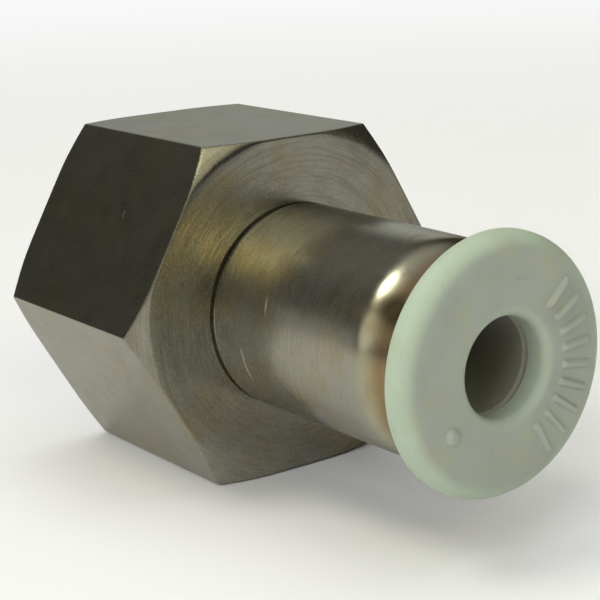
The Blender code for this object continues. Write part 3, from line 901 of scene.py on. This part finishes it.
BACKDROP = (0.94, 0.94, 0.94, 1)
FLOOR_HALF = 3.0
FLOOR_TONE = (0.915, 0.92, 0.94, 1)
FLOOR_TONE_LIGHT = (0.935, 0.94, 0.96, 1)
FLOOR_FADE = (0.05, 0.3)
FLOOR_SINK = 0.1 * MM
MIRRORED_FLOOR = 0.54
MIRRORED_FAR = 0.5


def floor():
    """A pale floor under the fitting that turns evenly bright further out; the metal mirrors it dimmer."""
    corners = [(x * FLOOR_HALF, y * FLOOR_HALF, 0) for x, y in ((-1, -1), (1, -1), (1, 1), (-1, 1))]
    mesh = bpy.data.meshes.new("studio_floor")
    mesh.from_pydata(corners, [], [(0, 1, 2, 3)])
    n = Nodes("floor_pale")
    coordinates, x, y, _, _ = n.place()
    tone = n.mix(n.noise(coordinates, 60, 3.0), FLOOR_TONE, FLOOR_TONE_LIGHT)
    distance = n.math("SQRT", n.math("ADD", n.math("MULTIPLY", x, x), n.math("MULTIPLY", y, y)))
    far = n.smooth(distance, *FLOOR_FADE)
    mirrored = n.node("ShaderNodeLightPath").outputs["Is Glossy Ray"]
    tone = n.mix(mirrored, tone, (MIRRORED_FLOOR, MIRRORED_FLOOR, 0.97 * MIRRORED_FLOOR, 1))
    near_side = n.smooth(y, 3 * MM, -6 * MM, 0.0, 0.13)  # the lit floor that the lower flat mirrors
    n.set(Base_Color=tone, Roughness=0.8, Specular_IOR_Level=0.1, Emission_Color=(1.0, 1.0, 0.95, 1))
    n.set(Emission_Strength=n.math("MULTIPLY", mirrored, near_side))
    strength = n.smooth(mirrored, 0.0, 1.0, 1.0, MIRRORED_FAR)
    glow = n.node("ShaderNodeEmission", Color=BACKDROP, Strength=strength).outputs[0]
    blend = n.node("ShaderNodeMixShader")
    n.feed(blend, "0", far)
    n.feed(blend, "1", n.shader.outputs[0])
    n.feed(blend, "2", glow)
    n.feed(n.tree.nodes["Material Output"], "Surface", blend.outputs[0])
    mesh.materials.append(n.made)
    made = bpy.data.objects.new("studio_floor", mesh)
    made.location = (0, 0, -FLOOR_SINK)
    bpy.context.scene.collection.objects.link(made)


def softbox(name, place, size, power):
    """A light aimed at the origin, for the floor and the moulded ring; the metal mirrors the room instead."""
    light = bpy.data.lights.new(name, "AREA")
    light.shape = "RECTANGLE"
    light.size, light.size_y = size
    light.energy = power
    made = bpy.data.objects.new(name, light)
    made.location = place
    made.rotation_euler = (-Vector(place)).to_track_quat("-Z", "Y").to_euler()
    made.visible_camera = False
    made.visible_glossy = False
    bpy.context.scene.collection.objects.link(made)


# Bright areas of the room: (direction, cosine where it starts, cosine where it is full, strength, colour).
# In order, what they light: the top flat, the yellow streak in the corner by the barrel, the rolled end, the
# rolled end's foot, the chamfered corner, a thin line on the barrel, the barrel's upper side, and the rest.
ROOM = (
    ((-0.78, 0.57, 0.25), 0.955, 0.995, 0.48, (0.97, 1.0, 0.93)),
    ((0.78, -0.29, 0.555), 0.987, 0.999, 5.2, (1.0, 0.97, 0.62)),
    ((-0.30, -0.42, 0.86), 0.968, 0.993, 6.5, (1.0, 0.99, 0.84)),
    ((-0.22, -0.85, 0.30), 0.92, 0.985, 0.8, (1.0, 0.99, 0.84)),
    ((0.83, 0.11, 0.55), 0.93, 0.985, 0.9, (1.0, 0.97, 0.72)),
    ((-0.75, -0.66, 0.02), 0.972, 0.997, 0.30, (0.88, 1.0, 0.98)),
    ((-0.85, 0.00, 0.52), 0.90, 0.98, 0.07, (1.0, 0.97, 0.85)),
    ((0.0, 0.2, 1.0), 0.70, 1.0, 0.4, (1.0, 1.0, 0.97)),
)
ROOM_BASE = 0.037


def room():
    """What the metal mirrors: a dim room with soft bright areas. The eye sees a plain pale backdrop."""
    n = Nodes("studio", world=True)
    bpy.context.scene.world = n.made
    direction = n.node("ShaderNodeTexCoord").outputs["Generated"]
    base = n.node("ShaderNodeBackground", Color=(1.0, 0.95, 0.85, 1), Strength=ROOM_BASE)
    total = base.outputs[0]
    for toward, start, full, strength, colour in ROOM:
        dot = n.node("ShaderNodeVectorMath", {"operation": "DOT_PRODUCT"})
        n.feed(dot, "0", direction)
        n.feed(dot, "1", Vector(toward).normalized())
        power = n.smooth(dot.outputs["Value"], start, full, 0.0, strength)
        area = n.node("ShaderNodeBackground", Color=(*colour, 1), Strength=power)
        both = n.node("ShaderNodeAddShader")
        n.feed(both, "0", total)
        n.feed(both, "1", area.outputs[0])
        total = both.outputs[0]
    shown = n.node("ShaderNodeBackground", Color=BACKDROP, Strength=1.0)
    choose = n.node("ShaderNodeMixShader")
    n.feed(choose, "0", n.node("ShaderNodeLightPath").outputs["Is Camera Ray"])
    n.feed(choose, "1", total)
    n.feed(choose, "2", shown.outputs[0])
    n.feed(n.tree.nodes["World Output"], "Surface", choose.outputs[0])


# Camera: its place is counted from the middle of the hexagon's front face, in widths across flats
CAMERA_LENS = 100.4
CAMERA_SENSOR = 36
CAMERA_CLIP = (0.001, 20)
CAMERA_OFFSET = Vector((3.8376, -2.8195, 1.2471))
CAMERA_FORWARD = Vector((-0.7794, 0.5742, -0.2507))
CAMERA_ROLL = math.radians(-1.94)


def camera():
    data = bpy.data.cameras.new("camera")
    data.lens = CAMERA_LENS
    data.sensor_width = CAMERA_SENSOR
    data.clip_start, data.clip_end = CAMERA_CLIP
    made = bpy.data.objects.new("camera", data)
    made.location = Vector((FACE_X, 0, AXIS_Z)) + CAMERA_OFFSET * (2 * APOTHEM * MM)
    turn = CAMERA_FORWARD.to_track_quat("-Z", "Y").to_matrix() @ Matrix.Rotation(CAMERA_ROLL, 3, "Z")
    made.rotation_euler = turn.to_euler()
    bpy.context.scene.collection.objects.link(made)
    bpy.context.scene.camera = made


build_body()
build_release_ring()
build_inner_pieces()
floor()
room()
softbox("key", (0.12, -0.34, 0.22), (0.25, 0.2), 0.85)
softbox("fill", (0.35, 0.05, 0.25), (0.3, 0.3), 0.14)
softbox("top", (-0.1, 0.1, 0.5), (0.6, 0.6), 1.1)
camera()
bpy.context.scene.view_settings.view_transform = "Standard"
